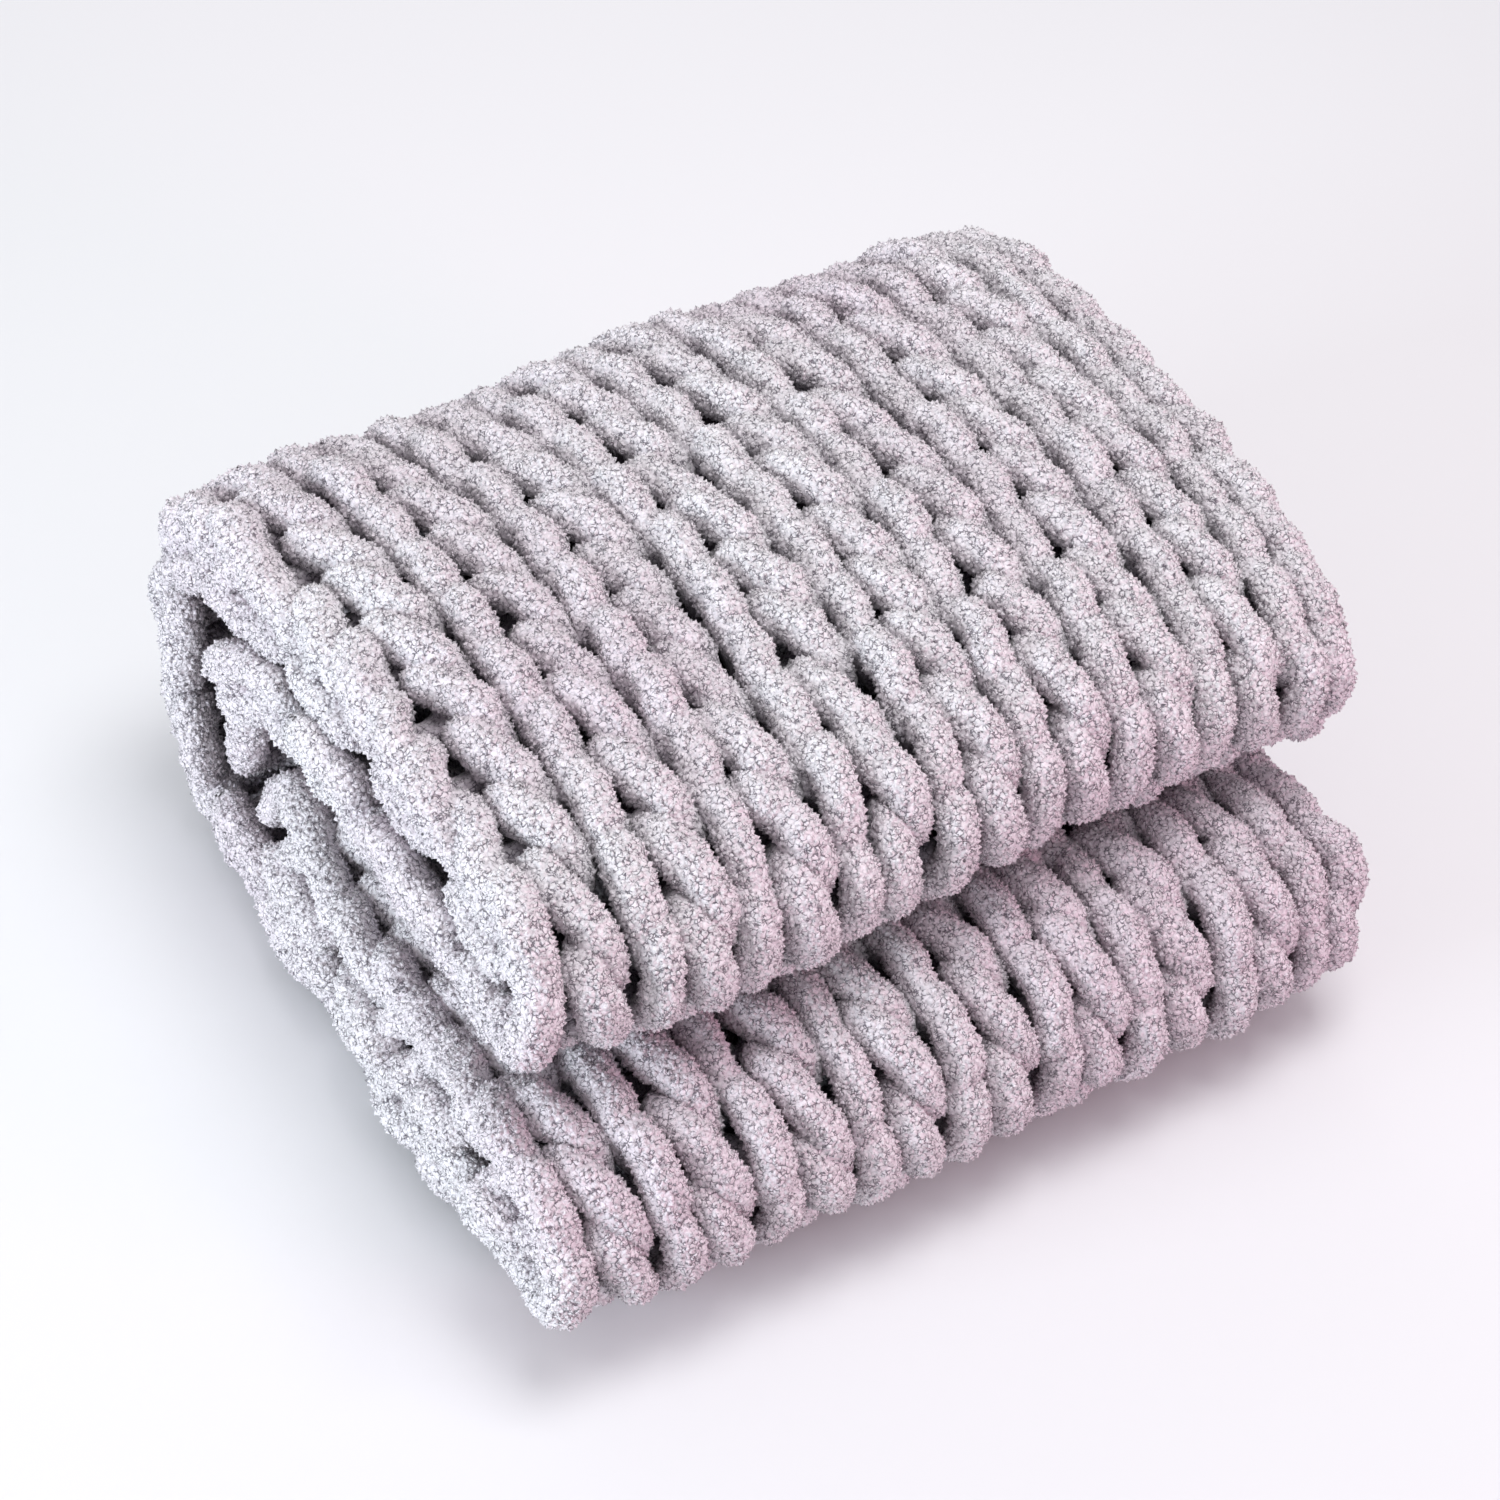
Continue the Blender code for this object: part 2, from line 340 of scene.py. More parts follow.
@dataclass(frozen=True)
class ChenilleFinish:
    """Jumbo chenille: cut polyester pile twisted on a centre thread, matt, clumped into soft
    crumbs.
    """

    body: str = "#F3ECF2"
    # Painted highlight: the lighter colour of the crumb crests.
    lit_tips: str = "#FBF6FB"
    # Painted shade: the dark colour put in the cracks between crumbs, standing in for the shadow
    # there.
    crack_shade: str = "#655E69"
    # Painted shade: the dark colour that the grooves of the knit are darkened towards.
    groove_shade_colour: str = "#77717B"
    blush: str = "#F6E8F0"
    crumb_mm: float = 2.8
    warp_mm: float = 2.0                                # bends the crumbs' borders
    warp_reach_mm: float = 2.6
    fibre_mm: float = 0.8
    stroke_mm: float = 3.4                              # breaks the cracks into strokes
    lock_mm: float = 5.0
    drift_mm: float = 160.0
    crumb_depth_mm: float = 1.8
    fibre_depth_mm: float = 0.5
    lock_depth_mm: float = 1.2
    crumb_bump: float = 0.9
    fibre_bump: float = 0.8
    lock_bump: float = 0.7
    crack_width: float = 0.17                           # share of a crumb
    faint_crack: float = 0.06                           # what is left between two strokes
    stroke_range: tuple[float, float] = (0.44, 0.60)
    lit_crest_range: tuple[float, float] = (0.1, 0.6)
    drift_range: tuple[float, float] = (0.35, 0.7)
    most_blush: float = 0.6
    roughness: float = 0.95
    specular: float = 0.2
    sheen: float = 0.4
    sheen_roughness: float = 0.6

    def build(self) -> bpy.types.Material:
        """Makes the material: light crumbs with painted light on their crests, painted shade in the
        cracks between them and in the grooves, slow tint drift.

        Returns:
            The material, which reads the painted groove shade from the mesh.
        """
        # Chenille yarn: cut pile that drinks the light, so it looks soft and matt. The eye gets
        # pale crumbs, short dark cracks between them, a faint sheen where the pile is seen from the
        # side and darker grooves. The dark cracks, the lighter crumb tops and the darker grooves
        # are painted shade and painted light in the colour; the sheen is the shader's own. Single
        # fibres are far
        # finer than a pixel: crumb_mm, fibre_mm and stroke_mm draw their clumps instead, coarser
        # than real.
        material = bpy.data.materials.new("chenille_yarn")
        material.use_nodes = True
        tree = material.node_tree
        tree.nodes.clear()
        place = add_node(tree, "ShaderNodeTexCoord").outputs["Object"]
        warp = add_node(tree, "ShaderNodeTexNoise", links={"Vector": place},
                        values={"Scale": 1.0 / (self.warp_mm * MM), "Detail": 2.0})
        shift = add_node(tree, "ShaderNodeVectorMath", {"operation": "SCALE"},
                         {0: warp.outputs["Color"]}, {"Scale": self.warp_reach_mm * MM})
        bent = add_node(tree, "ShaderNodeVectorMath", {"operation": "ADD"},
                        {0: place, 1: shift.outputs[0]})
        crumb = add_node(tree, "ShaderNodeTexVoronoi", {"feature": "F1"},
                         {"Vector": bent.outputs[0]}, {"Scale": 1.0 / (self.crumb_mm * MM)})
        border = add_node(tree, "ShaderNodeTexVoronoi", {"feature": "DISTANCE_TO_EDGE"},
                          {"Vector": bent.outputs[0]}, {"Scale": 1.0 / (self.crumb_mm * MM)})
        fibre = add_node(tree, "ShaderNodeTexNoise", links={"Vector": place},
                         values={"Scale": 1.0 / (self.fibre_mm * MM), "Detail": 3.0,
                                 "Roughness": 0.65})
        lock = add_node(tree, "ShaderNodeTexNoise", links={"Vector": place},
                        values={"Scale": 1.0 / (self.lock_mm * MM), "Detail": 2.5,
                                "Roughness": 0.6})
        # Painted shade: the cracks between crumbs turn towards the dark crack colour, broken into
        # strokes by noise, standing in for the shadow that falls between the crumbs.
        crack = add_node(tree, "ShaderNodeMapRange", {"interpolation_type": "SMOOTHSTEP"},
                         {"Value": border.outputs["Distance"]},
                         {"From Min": 0.0, "From Max": self.crack_width,
                          "To Min": 1.0, "To Max": 0.0})
        stroke = add_node(tree, "ShaderNodeTexNoise", links={"Vector": place},
                          values={"Scale": 1.0 / (self.stroke_mm * MM), "Detail": 2.0})
        deepness = add_node(tree, "ShaderNodeMapRange", links={"Value": stroke.outputs["Fac"]},
                            values={"From Min": self.stroke_range[0],
                                    "From Max": self.stroke_range[1],
                                    "To Min": 1.0, "To Max": self.faint_crack})
        cracked = add_node(tree, "ShaderNodeMath", {"operation": "MULTIPLY"},
                           {0: crack.outputs[0], 1: deepness.outputs[0]})
        # Painted light and shade: the middle of each crumb gets the lighter tip colour and its
        # border the body colour, standing in for light on the crumb tops and shade at their feet.
        lit_crest = add_node(tree, "ShaderNodeMapRange", links={"Value": crumb.outputs["Distance"]},
                         values={"From Min": self.lit_crest_range[0],
                                 "From Max": self.lit_crest_range[1],
                                 "To Min": 1.0, "To Max": 0.0})
        pale = add_node(tree, "ShaderNodeMix", {"data_type": "RGBA"}, {0: lit_crest.outputs[0]},
                        {6: linear(self.body), 7: linear(self.lit_tips)})
        split = add_node(tree, "ShaderNodeMix", {"data_type": "RGBA"},
                         {0: cracked.outputs[0], 6: pale.outputs[2]}, {7: linear(self.crack_shade)})
        drift = add_node(tree, "ShaderNodeTexNoise", links={"Vector": place},
                         values={"Scale": 1.0 / (self.drift_mm * MM), "Detail": 1.0})
        amount = add_node(tree, "ShaderNodeMapRange", links={"Value": drift.outputs["Fac"]},
                          values={"From Min": self.drift_range[0],
                                  "From Max": self.drift_range[1], "To Max": self.most_blush})
        tinted = add_node(tree, "ShaderNodeMix", {"data_type": "RGBA", "blend_type": "MULTIPLY"},
                          {0: amount.outputs[0], 6: split.outputs[2]}, {7: linear(self.blush)})
        # Painted shade in the grooves: the colour is multiplied towards the groove shade colour
        # where the mesh says the yarn lies deep in the knit.
        groove_shade = add_node(tree, "ShaderNodeAttribute", {"attribute_name": "groove_shade"})
        shaded = add_node(tree, "ShaderNodeMix", {"data_type": "RGBA", "blend_type": "MULTIPLY"},
                          {0: groove_shade.outputs["Fac"], 6: tinted.outputs[2]}, {7: linear(self.groove_shade_colour)})
        coarse = add_node(tree, "ShaderNodeBump", links={"Height": lock.outputs["Fac"]},
                          values={"Strength": self.lock_bump,
                                  "Distance": self.lock_depth_mm * MM})
        rounded = add_node(tree, "ShaderNodeBump", {"invert": True},
                           {"Height": crumb.outputs["Distance"], "Normal": coarse.outputs[0]},
                           {"Strength": self.crumb_bump, "Distance": self.crumb_depth_mm * MM})
        fine = add_node(tree, "ShaderNodeBump",
                        links={"Height": fibre.outputs["Fac"], "Normal": rounded.outputs[0]},
                        values={"Strength": self.fibre_bump,
                                "Distance": self.fibre_depth_mm * MM})
        shader = add_node(tree, "ShaderNodeBsdfPrincipled",
                          links={"Base Color": shaded.outputs[2], "Normal": fine.outputs[0]},
                          values={"Roughness": self.roughness, "Sheen Weight": self.sheen,
                                  "Sheen Roughness": self.sheen_roughness,
                                  "Specular IOR Level": self.specular})
        add_node(tree, "ShaderNodeOutputMaterial", links={"Surface": shader.outputs[0]})
        return material


@dataclass(frozen=True)
class SurfaceFinish:
    """Painted board of a light table: matt, nearly white."""

    colour: str = "#E8E7EA"
    roughness: float = 0.8

    def build(self) -> bpy.types.Material:
        """Makes the plain material of the surface under the blanket.

        Returns:
            The material.
        """
        # Matt white board: no gloss and no pattern, so that only the soft shadow shows on it.
        material = bpy.data.materials.new("matt_white_board")
        material.use_nodes = True
        shader = material.node_tree.nodes["Principled BSDF"]
        shader.inputs["Base Color"].default_value = linear(self.colour)
        shader.inputs["Roughness"].default_value = self.roughness
        return material


# Knitting

class Detail(Enum):
    """How finely a stretch is made: ring points, steps along the yarn and crumb spacing."""

    SHOWN = (16, 0.0042, 0.0042, 0.00235)
    REAR = (14, 0.0048, 0.0046, 0.00290)
    INNER = (12, 0.0120, 0.0046, 0.00290)

    @property
    def ring(self) -> int:
        """Points round the yarn."""
        return self.value[0]

    @property
    def step(self) -> float:
        """Step along the yarn in the middle of the band."""
        return self.value[1]

    @property
    def edge_step(self) -> float:
        """Step along the yarn near the selvedges, which show at the ends of the pile."""
        return self.value[2]

    @property
    def crumb_spacing(self) -> float:
        """Distance between the crumbs of the pile."""
        return self.value[3]


class Stretch(NamedTuple):
    """A run of rows that makes one piece."""

    name: str
    start: str      # first station of the stretch
    detail: Detail


STRETCHES = (
    Stretch("second_layer_yarn", "cast-on end", Detail.INNER),
    Stretch("lower_fold_yarn", "second layer front", Detail.SHOWN),
    Stretch("first_layer_yarn", "lower fold bottom", Detail.INNER),
    Stretch("back_fold_yarn", "first layer back", Detail.REAR),
    Stretch("top_layer_yarn", "back fold top", Detail.SHOWN),
    Stretch("upper_fold_yarn", "top layer front", Detail.SHOWN),
    Stretch("third_layer_yarn", "third layer front", Detail.INNER),
)


@dataclass
class KnitBand:
    """The flat stockinette band: rows of loops of one thick yarn."""

    line: FoldLine
    wales: int = 9
    course: float = 0.040
    band_width: float = 0.4545
    loop_reach: float = 0.0360
    loop_lean: float = 0.0094
    twist: float = 0.15
    twist_zone: tuple[float, float] = (0.2, 0.8)        # stitches from the selvedge
    foot_hold: float = 3.6
    head_hold: float = 1.9
    yarn_depth: float = 0.0120
    yarn_radius: float = 0.0102
    hidden_radius: float = 0.85                         # share of the radius at head and foot
    leg_swell: float = 0.17
    radius_chance: float = 0.045
    selvedge_leg: float = 0.003
    selvedge_foot: float = 0.001
    inner_leg: float = 0.027
    ladder: float = 0.008
    right_tuck: float = 0.002
    rung_lift: float = 0.008
    rung_start: tuple[float, float] = (0.3, 0.5)
    rung_end: tuple[float, float] = (0.5, 0.9)
    turn_bulge: float = 0.003
    bulge_chance: float = 0.6
    turn_fullness: float = 0.7
    turn_overlap: float = 0.011
    turn_depth: float = 0.004
    turn_swell: float = 0.20
    unevenness: float = 0.0030
    across_share: float = 0.6
    out_share: float = 0.5
    edge_unevenness: float = 0.7
    edge_zone: tuple[float, float] = (0.3, 0.9)
    stitch_points: int = 64
    stitch_knots: int = 4                               # places of chance in a stitch
    turn_points: int = 34
    close_zone: tuple[float, float] = (0.05, 0.07)      # metres from the selvedge
    seed: int = 11

    def __post_init__(self) -> None:
        """Fits a whole number of courses on the line and seeds the chance."""
        self.courses = round(self.line.length / self.course)
        self.course = self.line.length / self.courses
        self.wale = (self.band_width - 2.0 * self.inner_leg) / (self.wales - 1.5)
        self.random = np.random.default_rng(self.seed)

    def _opening(self, along: float) -> float:
        """Says how far the selvedge ladder opens, most where the cloth lies on top.

        Args:
            along: Length along the fold line.

        Returns:
            A share from 0 to 1.
        """
        rise = (self.line.length_at("back fold upper"), self.line.length_at("back fold top"))
        fall = (self.line.length_at("upper fold lower"), self.line.length_at("third layer front"))
        return float(ramp(np.array(along), *rise) * (1.0 - ramp(np.array(along), *fall)))

    def _spread(self, across: np.ndarray, opening: float) -> np.ndarray:
        """Places the columns, with the ladder that opens inside the left selvedge leg.

        Args:
            across: Places across the band, in wales.
            opening: How far the ladder is open, from 0 to 1.

        Returns:
            Places across the flat band in metres.
        """
        # A loop's legs stand a quarter of a wale inside the borders of its column.
        last = float(self.wales)
        end = self.selvedge_foot
        inner = self.inner_leg + self.ladder * opening
        closed = self.inner_leg - self.right_tuck
        wales = (0.0, 0.25, 0.75, last - 0.75, last - 0.25, last)
        places = (end, self.selvedge_leg, inner, self.band_width - closed,
                  self.band_width - self.selvedge_leg, self.band_width - end)
        return np.interp(across, wales, places)

    def row(self, course: int) -> np.ndarray:
        """Makes one row of loops, from the left selvedge to the right one.

        Args:
            course: Number of the row from the cast-on end.

        Returns:
            Rows of across, along, out and yarn radius, closely spaced.
        """
        turn = np.linspace(0.0, 2.0 * np.pi * self.wales, self.wales * self.stitch_points + 1)
        knots = np.linspace(0.0, turn[-1], self.wales * self.stitch_knots + 1)
        wobble = [np.interp(turn, knots, self.random.normal(0.0, 1.0, len(knots)))
                  for _ in range(4)]
        rise = -np.cos(turn)
        leg = 1.0 - np.where(rise > 0.0, np.abs(rise) ** self.head_hold,
                             np.abs(rise) ** self.foot_hold)
        stitch = turn / (2.0 * np.pi)
        to_end = np.minimum(stitch, self.wales - stitch)
        at_end = 1.0 - ramp(to_end, *self.edge_zone)
        uneven = self.unevenness * (1.0 + self.edge_unevenness * at_end)
        opening = self._opening((course + 0.5) * self.course)
        path = np.empty((len(turn), 4))
        lean = self.loop_lean / self.wale * np.sin(2.0 * turn)
        path[:, 0] = self._spread(stitch + lean, opening)
        path[:, 0] += self.twist * self.loop_reach * rise * ramp(to_end, *self.twist_zone)
        path[:, 0] += self.across_share * uneven * wobble[0]
        path[:, 1] = (course + 0.5) * self.course + self.loop_reach * rise + uneven * wobble[1]
        path[:, 2] = self.yarn_depth * (2.0 * leg - 1.0) + self.out_share * uneven * wobble[2] * leg
        path[:, 2] += (self.rung_lift * (1.0 - leg) * ramp(to_end, *self.rung_start)
                       * (1.0 - ramp(to_end, *self.rung_end)))
        path[:, 3] = self.yarn_radius * (self.hidden_radius + self.leg_swell * leg
                                         + self.radius_chance * wobble[3])
        return path

    def turn_up(self, start: np.ndarray, end: np.ndarray, side: float) -> np.ndarray:
        """Makes the turn at a selvedge, from one row up to the next.

        Args:
            start: Last point of the finished row.
            end: First point of the next row.
            side: -1 at the left selvedge and 1 at the right one.

        Returns:
            Points of the turn, without its two ends.
        """
        t = np.linspace(0.0, 1.0, self.turn_points)[1:-1]
        points = start + (end - start) * (0.5 - 0.5 * np.cos(np.pi * t[:, None]))
        bulge = self.turn_bulge * (1.0 + self.bulge_chance * self.random.normal())
        points[:, 0] += side * bulge * np.sin(np.pi * t) ** self.turn_fullness
        points[:, 1] -= self.turn_overlap * np.sin(2.0 * np.pi * t)
        points[:, 2] -= self.turn_depth * np.sin(np.pi * t)
        points[:, 3] *= 1.0 + self.turn_swell * np.sin(np.pi * t)
        return points

    def strand(self, first: int, last: int, rows: list[np.ndarray]) -> np.ndarray:
        """Joins rows and their turns to one strand of yarn.

        Args:
            first: First row.
            last: The row after the last one.
            rows: All rows of the band.

        Returns:
            The points of the strand.
        """
        parts = []
        for course in range(first, last):
            forward = course % 2 == 0
            row = rows[course] if forward else rows[course][::-1]
            parts.append(row)
            if course + 1 < len(rows):
                following = rows[course + 1] if not forward else rows[course + 1][::-1]
                parts.append(self.turn_up(row[-1], following[0], 1.0 if forward else -1.0))
                if course + 1 == last:
                    parts.append(following[:1])
        return np.concatenate(parts)

    def thin(self, strand: np.ndarray, detail: Detail) -> np.ndarray:
        """Spaces a strand's points as its detail asks.

        Args:
            strand: Closely spaced points.
            detail: How finely the strand is made.

        Returns:
            Fewer points, closer together near the selvedges.
        """
        steps = np.linalg.norm(np.diff(strand[:, :3], axis=0), axis=1)
        to_edge = np.minimum(strand[1:, 0], self.band_width - strand[1:, 0])
        near = 1.0 - ramp(to_edge, *self.close_zone)
        wanted = detail.step + (detail.edge_step - detail.step) * near
        count = np.concatenate([[0.0], np.cumsum(steps / wanted)])
        at = np.linspace(0.0, count[-1], int(count[-1]) + 1)
        return np.stack([np.interp(at, count, column) for column in strand.T], axis=-1)


@dataclass
class YarnMaker:
    """Sweeps the yarn along its strand and lays it on the fold."""

    band: KnitBand
    material: bpy.types.Material
    lump_size: float = 0.0105
    lump_height: float = 0.0064
    knub_size: float = 0.0055
    knub_height: float = 0.0038
    knit_side: tuple[float, float] = (0.003, 0.010)     # where the pile begins to show
    shown_end: tuple[float, float] = (0.006, 0.018)     # metres from the selvedge
    hidden_end: tuple[float, float] = (0.020, 0.050)
    # Heights and selvedge distance over which the painted groove shade fades in and out.
    groove_rim: tuple[float, float] = (-0.002, 0.016)
    groove_floor: tuple[float, float] = (-0.020, -0.006)
    groove_edge: tuple[float, float] = (0.0, 0.026)

    def __post_init__(self) -> None:
        """Builds the sweep tree once."""
        self.tree = self._tree()

    def _tree(self) -> bpy.types.NodeTree:
        """Builds the tree that sweeps a round yarn with lumps along a curve.

        Returns:
            The tree.
        """
        tree, given, result = node_group("sweep_yarn", {
            "Ring Points": ("NodeSocketInt", 16),
            "Lump Size": ("NodeSocketFloat", self.lump_size),
            "Lump Height": ("NodeSocketFloat", self.lump_height),
            "Knub Size": ("NodeSocketFloat", self.knub_size),
            "Knub Height": ("NodeSocketFloat", self.knub_height),
            "Yarn": ("NodeSocketMaterial", None),
        })
        ring = add_node(tree, "GeometryNodeCurvePrimitiveCircle",
                        links={"Resolution": given.outputs["Ring Points"]}, values={"Radius": 1.0})
        radius = add_node(tree, "GeometryNodeInputRadius")
        tube = add_node(tree, "GeometryNodeCurveToMesh", links={
            "Curve": given.outputs["Geometry"], "Profile Curve": ring.outputs["Curve"],
            "Scale": radius.outputs[0]}, values={"Fill Caps": True})
        swelling = None
        for size, height in (("Lump Size", "Lump Height"), ("Knub Size", "Knub Height")):
            scale = add_node(tree, "ShaderNodeMath", {"operation": "DIVIDE"},
                             {1: given.outputs[size]}, {0: 1.0})
            noise = add_node(tree, "ShaderNodeTexNoise", links={"Scale": scale.outputs[0]},
                             values={"Detail": 1.0})
            centred = add_node(tree, "ShaderNodeMath", {"operation": "SUBTRACT"},
                               {0: noise.outputs["Fac"]}, {1: 0.5})
            lift = add_node(tree, "ShaderNodeMath", {"operation": "MULTIPLY"},
                            {0: centred.outputs[0], 1: given.outputs[height]})
            swelling = lift if swelling is None else add_node(
                tree, "ShaderNodeMath", {"operation": "ADD"},
                {0: swelling.outputs[0], 1: lift.outputs[0]})
        normal = add_node(tree, "GeometryNodeInputNormal")
        offset = add_node(tree, "ShaderNodeVectorMath", {"operation": "SCALE"},
                          {0: normal.outputs[0], "Scale": swelling.outputs[0]})
        lumpy = add_node(tree, "GeometryNodeSetPosition",
                         links={"Geometry": tube.outputs[0], "Offset": offset.outputs[0]})
        smooth = add_node(tree, "GeometryNodeSetShadeSmooth", links={"Geometry": lumpy.outputs[0]})
        realized = add_node(tree, "GeometryNodeRealizeInstances",
                            links={"Geometry": smooth.outputs[0]})
        dressed = add_node(tree, "GeometryNodeSetMaterial", links={
            "Geometry": realized.outputs[0], "Material": given.outputs["Yarn"]})
        tree.links.new(dressed.outputs[0], result.inputs[0])
        return tree

    def _front(self, out: np.ndarray, to_edge: np.ndarray, detail: Detail) -> np.ndarray:
        """Says how much of the pile shows at each point of the yarn.

        Args:
            out: Height over the middle of the cloth, towards the knit side.
            to_edge: Distance to the nearer selvedge.
            detail: How finely the yarn is made.

        Returns:
            Shares from 0, hidden, to 1, in full view.
        """
        knit_side = np.zeros_like(out) if detail is Detail.INNER else ramp(out, *self.knit_side)
        zone = self.shown_end if detail is Detail.SHOWN else self.hidden_end
        return np.maximum(knit_side, 1.0 - ramp(to_edge, *zone))

    def _mark(self, mesh: bpy.types.Mesh, name: str, values: np.ndarray) -> None:
        """Writes one number for each point of a mesh.

        Args:
            mesh: The mesh.
            name: The attribute's name.
            values: One number for each point.
        """
        attribute = mesh.attributes.new(name, "FLOAT", "POINT")
        attribute.data.foreach_set("value", values.astype(np.float32))

    def sweep(self, name: str, strand: np.ndarray, detail: Detail) -> bpy.types.Object:
        """Makes one finished piece of yarn.

        Args:
            name: The piece's name.
            strand: Points with their radius on the flat band.
            detail: How finely the yarn is made.

        Returns:
            The piece, laid on the fold, with the pile's share and the painted groove shade on its
            points.
        """
        curve = bpy.data.curves.new(name, "CURVE")
        curve.dimensions = "3D"
        spline = curve.splines.new("POLY")
        spline.points.add(len(strand) - 1)
        spline.points.foreach_set("co", np.insert(strand[:, :3], 3, 1.0, axis=1).ravel())
        spline.points.foreach_set("radius", strand[:, 3])
        guide = bpy.data.objects.new(name + "_guide", curve)
        bpy.context.scene.collection.objects.link(guide)
        mesh = run_nodes(guide, self.tree, {
            "Ring Points": detail.ring, "Lump Size": self.lump_size,
            "Lump Height": self.lump_height, "Knub Size": self.knub_size,
            "Knub Height": self.knub_height, "Yarn": self.material})
        bpy.data.objects.remove(guide, do_unlink=True)
        flat = np.empty(len(mesh.vertices) * 3)
        mesh.vertices.foreach_get("co", flat)
        flat = flat.reshape(-1, 3)
        laid = self.band.line.lay(flat, self.band.band_width)
        mesh.vertices.foreach_set("co", laid.ravel())
        mesh.flip_normals()
        to_edge = np.minimum(flat[:, 0], self.band.band_width - flat[:, 0])
        self._mark(mesh, "front", self._front(flat[:, 2], to_edge, detail))
        # Painted shade: points low in the knit, between the legs and the turns, get a darker colour
        # through the material, standing in for the shade in the grooves; it fades out near the
        # selvedges.
        groove = ((1.0 - ramp(flat[:, 2], *self.groove_rim))
                  * ramp(flat[:, 2], *self.groove_floor))
        self._mark(mesh, "groove_shade", groove * ramp(to_edge, *self.groove_edge))
        mesh.update()
        piece = bpy.data.objects.new(name, mesh)
        bpy.context.scene.collection.objects.link(piece)
        return piece


@dataclass
class ChenillePile:
    """The cut pile of the chenille, clumped into crumbs that stand side by side on the yarn.

    Each crumb stands for a few hundred fibres: it is drawn much coarser than the real pile.
    """

    material: bpy.types.Material
    width: float = 0.0018
    height: float = 0.0021
    sides: int = 4
    sunk: float = 0.0003
    tilt: float = 0.35
    half_turn: float = 3.14
    smallest: float = 0.75
    largest: float = 1.3
    most_crumbs: float = 400000.0       # per square metre, before the spacing thins them
    seed: int = 5

    def __post_init__(self) -> None:
        """Builds the pile tree once."""
        self.tree = self._tree()

    def _tree(self) -> bpy.types.NodeTree:
        """Builds the tree that stands crumbs on a mesh, closely where "front" is 1.

        Returns:
            The tree.
        """
        tree, given, result = node_group("stand_pile", {
            "Spacing": ("NodeSocketFloat", Detail.SHOWN.crumb_spacing),
            "Crumb Width": ("NodeSocketFloat", self.width),
            "Crumb Height": ("NodeSocketFloat", self.height),
            "Tilt": ("NodeSocketFloat", self.tilt),
            "Seed": ("NodeSocketInt", self.seed),
            "Pile": ("NodeSocketMaterial", None),
        })
        front = add_node(tree, "GeometryNodeInputNamedAttribute", {"data_type": "FLOAT"},
                         values={"Name": "front"})
        spots = add_node(
            tree, "GeometryNodeDistributePointsOnFaces", {"distribute_method": "POISSON"},
            {"Mesh": given.outputs["Geometry"], "Distance Min": given.outputs["Spacing"],
             "Density Factor": front.outputs[0], "Seed": given.outputs["Seed"]},
            {"Density Max": self.most_crumbs})
        crumb = add_node(tree, "GeometryNodeMeshCone", {"fill_type": "NONE"}, {
            "Radius Bottom": given.outputs["Crumb Width"], "Depth": given.outputs["Crumb Height"]},
            {"Vertices": self.sides, "Radius Top": 0.0})
        rooted = add_node(tree, "GeometryNodeSetPosition",
                          links={"Geometry": crumb.outputs["Mesh"]},
                          values={"Offset": (0.0, 0.0, -self.sunk)})
        low = add_node(tree, "ShaderNodeMath", {"operation": "MULTIPLY"},
                       {0: given.outputs["Tilt"]}, {1: -1.0})
        lowest = add_node(tree, "ShaderNodeCombineXYZ",
                          links={i: low.outputs[0] for i in range(2)},
                          values={2: -self.half_turn})
        highest = add_node(tree, "ShaderNodeCombineXYZ",
                           links={i: given.outputs["Tilt"] for i in range(2)},
                           values={2: self.half_turn})
        lean = add_node(tree, "FunctionNodeRandomValue", {"data_type": "FLOAT_VECTOR"}, {
            0: lowest.outputs[0], 1: highest.outputs[0], "Seed": given.outputs["Seed"]})
        leaning = add_node(tree, "FunctionNodeEulerToRotation", links={0: lean.outputs[0]})
        stand = add_node(tree, "FunctionNodeRotateRotation", {"rotation_space": "LOCAL"}, {
            0: spots.outputs["Rotation"], 1: leaning.outputs[0]})
        size = add_node(tree, "FunctionNodeRandomValue", {"data_type": "FLOAT"},
                        {"Seed": given.outputs["Seed"]}, {2: self.smallest, 3: self.largest})
        crumbs = add_node(tree, "GeometryNodeInstanceOnPoints", links={
            "Points": spots.outputs["Points"], "Instance": rooted.outputs[0],
            "Rotation": stand.outputs[0], "Scale": size.outputs[1]})
        realized = add_node(tree, "GeometryNodeRealizeInstances",
                            links={"Geometry": crumbs.outputs[0]})
        smooth = add_node(tree, "GeometryNodeSetShadeSmooth",
                          links={"Geometry": realized.outputs[0]})
        dressed = add_node(tree, "GeometryNodeSetMaterial", links={
            "Geometry": smooth.outputs[0], "Material": given.outputs["Pile"]})
        tree.links.new(dressed.outputs[0], result.inputs[0])
        return tree

    def grow(self, yarn: bpy.types.Object, name: str, spacing: float) -> bpy.types.Object:
        """Grows the pile on a finished piece of yarn.

        Args:
            yarn: The yarn that carries the pile.
            name: Name of the pile's piece.
            spacing: Distance between crumbs.

        Returns:
            The pile as a piece of its own.
        """
        mesh = run_nodes(yarn, self.tree, {
            "Spacing": spacing, "Crumb Width": self.width, "Crumb Height": self.height,
            "Tilt": self.tilt, "Seed": self.seed, "Pile": self.material})
        places = np.empty(len(mesh.vertices) * 3)
        mesh.vertices.foreach_get("co", places)
        places[2::3] = np.maximum(places[2::3], 0.0)
        mesh.vertices.foreach_set("co", places)
        piece = bpy.data.objects.new(name, mesh)
        bpy.context.scene.collection.objects.link(piece)
        return piece


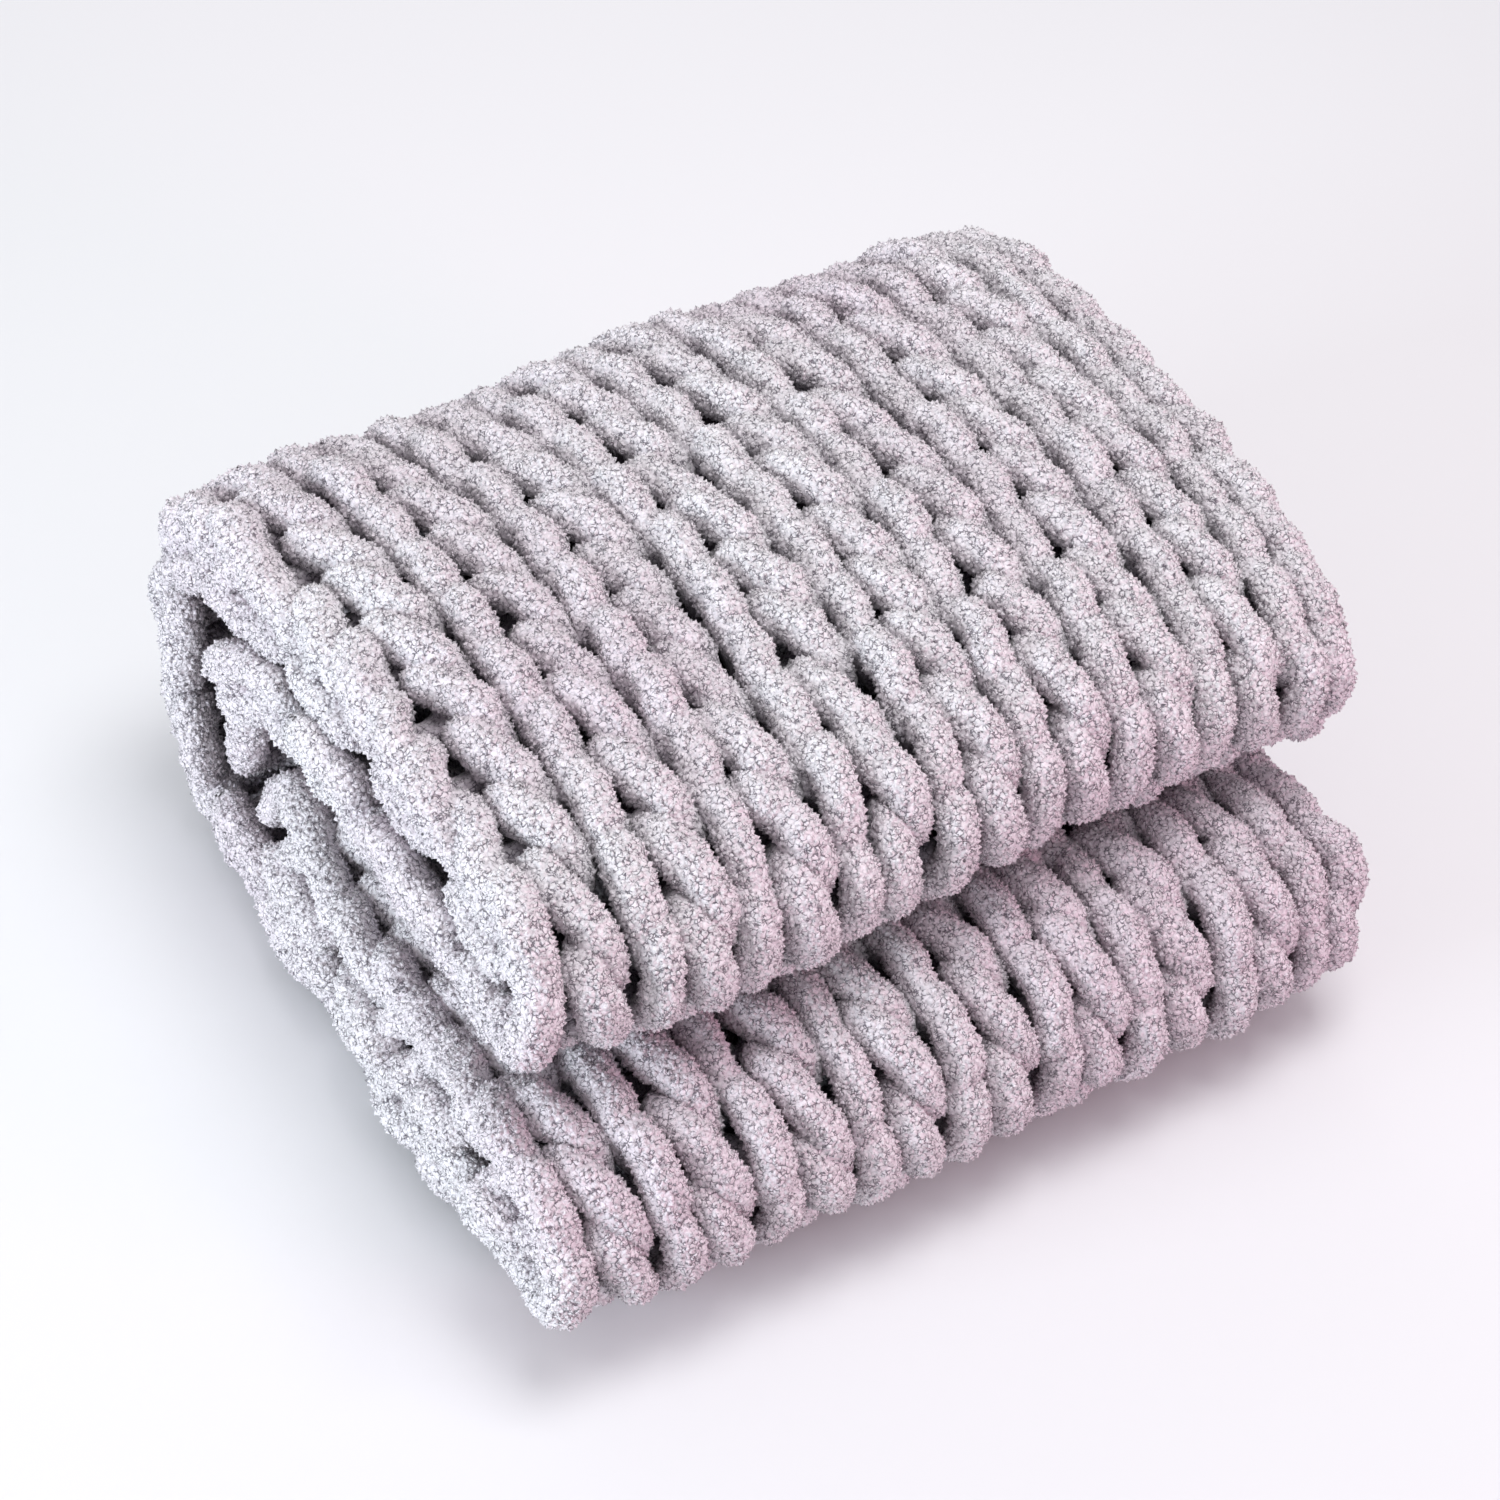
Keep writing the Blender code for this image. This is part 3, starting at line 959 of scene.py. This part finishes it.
@dataclass
class Blanket:
    """The folded blanket: stretches of yarn with the pile on them."""

    line: FoldLine = field(default_factory=FoldLine)
    finish: ChenilleFinish = field(default_factory=ChenilleFinish)
    fill: float = 0.5

    def build(self) -> None:
        """Knits, lays and dresses every stretch of the blanket."""
        material = self.finish.build()
        band = KnitBand(self.line)
        maker = YarnMaker(band, material)
        pile = ChenillePile(material)
        rows = [band.row(course) for course in range(band.courses)]
        starts = [round(self.line.length_at(s.start) / band.course) for s in STRETCHES]
        for stretch, first, last in zip(STRETCHES, starts, starts[1:] + [band.courses]):
            strand = band.thin(band.strand(first, last, rows), stretch.detail)
            yarn = maker.sweep(stretch.name, strand, stretch.detail)
            pile_name = stretch.name.replace("_yarn", "_pile")
            tufts = pile.grow(yarn, pile_name, stretch.detail.crumb_spacing)
            for piece in (yarn, tufts):
                self._place(piece)

    def _place(self, piece: bpy.types.Object) -> None:
        """Hands a finished piece to the frame.

        Args:
            piece: A piece of yarn or pile.
        """
        piece.data.calc_loop_triangles()
        LOG.info("%s: %d triangles", piece.name, len(piece.data.loop_triangles))
        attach(piece, BODY)
        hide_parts(NODE)


# Studio

class SoftBox(NamedTuple):
    """A square soft box of the studio."""

    name: str
    place: tuple[float, float, float]
    size: float
    watts: float
    colour: str
    aim: tuple[float, float, float] = (0.0, 0.0, 0.1)


SOFT_BOXES = (
    SoftBox("overhead", (0.25, -0.2, 2.2), 1.0, 23.0, "#FFFFFF"),
    SoftBox("cool_left", (-2.8, -0.1, 0.6), 1.1, 64.0, "#E8F8FD"),
    SoftBox("pink_right", (1.6, -2.8, 0.7), 1.1, 26.0, "#FFA8C9"),
    SoftBox("backdrop", (0.8, 2.2, 1.7), 1.4, 6.0, "#FFFFFF", (0.8, 1.9, 0.0)),
)


@dataclass
class Studio:
    """Pale floor, soft light and the camera at the photo's angle."""

    azimuth: float = -34.4
    elevation: float = 45.2
    roll: float = 4.4
    distance: float = 1.57
    focal_px: float = 3045.0
    frame_px: float = 1500.0
    target: tuple[float, float, float] = (-0.006, 0.0115, 0.090)
    sensor: float = 36.0
    floor_size: float = 12.0
    sky: str = "#F7F7F9"
    sky_strength: float = 0.62

    def camera(self) -> None:
        """Places the camera and makes it the scene's."""
        a, e, r = (math.radians(v) for v in (self.azimuth, self.elevation, self.roll))
        back = Vector((math.sin(a) * math.cos(e), -math.cos(a) * math.cos(e), math.sin(e)))
        right = (-back).cross(Vector((0.0, 0.0, 1.0))).normalized()
        up = right.cross(-back)
        turned = right * math.cos(r) + up * math.sin(r)
        raised = -right * math.sin(r) + up * math.cos(r)
        data = bpy.data.cameras.new("camera")
        data.sensor_width = self.sensor
        data.lens = self.focal_px / self.frame_px * self.sensor
        camera = bpy.data.objects.new("camera", data)
        place = Matrix((turned, raised, back)).transposed().to_4x4()
        place.translation = Vector(self.target) + back * self.distance
        camera.matrix_world = place
        bpy.context.scene.collection.objects.link(camera)
        bpy.context.scene.camera = camera

    def floor(self) -> None:
        """Lays the pale surface under the blanket."""
        bpy.ops.mesh.primitive_plane_add(size=self.floor_size)
        floor = bpy.context.object
        floor.name = "floor"
        floor.data.materials.append(SurfaceFinish().build())

    def _hang(self, box: SoftBox) -> None:
        """Hangs a soft box.

        Args:
            box: Its name, place, size, light and what it faces.
        """
        data = bpy.data.lights.new(box.name, "AREA")
        data.shape = "SQUARE"
        data.size = box.size
        data.energy = box.watts
        data.color = linear(box.colour)[:3]
        light = bpy.data.objects.new(box.name, data)
        light.location = box.place
        towards = Vector(box.aim) - Vector(box.place)
        light.rotation_euler = towards.to_track_quat("-Z", "Y").to_euler()
        bpy.context.scene.collection.objects.link(light)

    def lights(self) -> None:
        """Sets the soft light of a bright daylight studio."""
        world = bpy.data.worlds.new("soft_daylight")
        world.use_nodes = True
        sky = world.node_tree.nodes["Background"]
        sky.inputs["Color"].default_value = linear(self.sky)
        sky.inputs["Strength"].default_value = self.sky_strength
        bpy.context.scene.world = world
        for box in SOFT_BOXES:
            self._hang(box)

    def build(self) -> None:
        """Sets up the view and the light."""
        self.camera()
        self.floor()
        self.lights()
        settings = bpy.context.scene.view_settings
        settings.view_transform = "Standard"
        settings.look = "None"


def main() -> None:
    """Builds the studio and the blanket, in order."""
    logging.basicConfig(level=logging.INFO, format="%(message)s")
    Studio().build()
    Blanket().build()


if __name__ == "__main__":
    main()
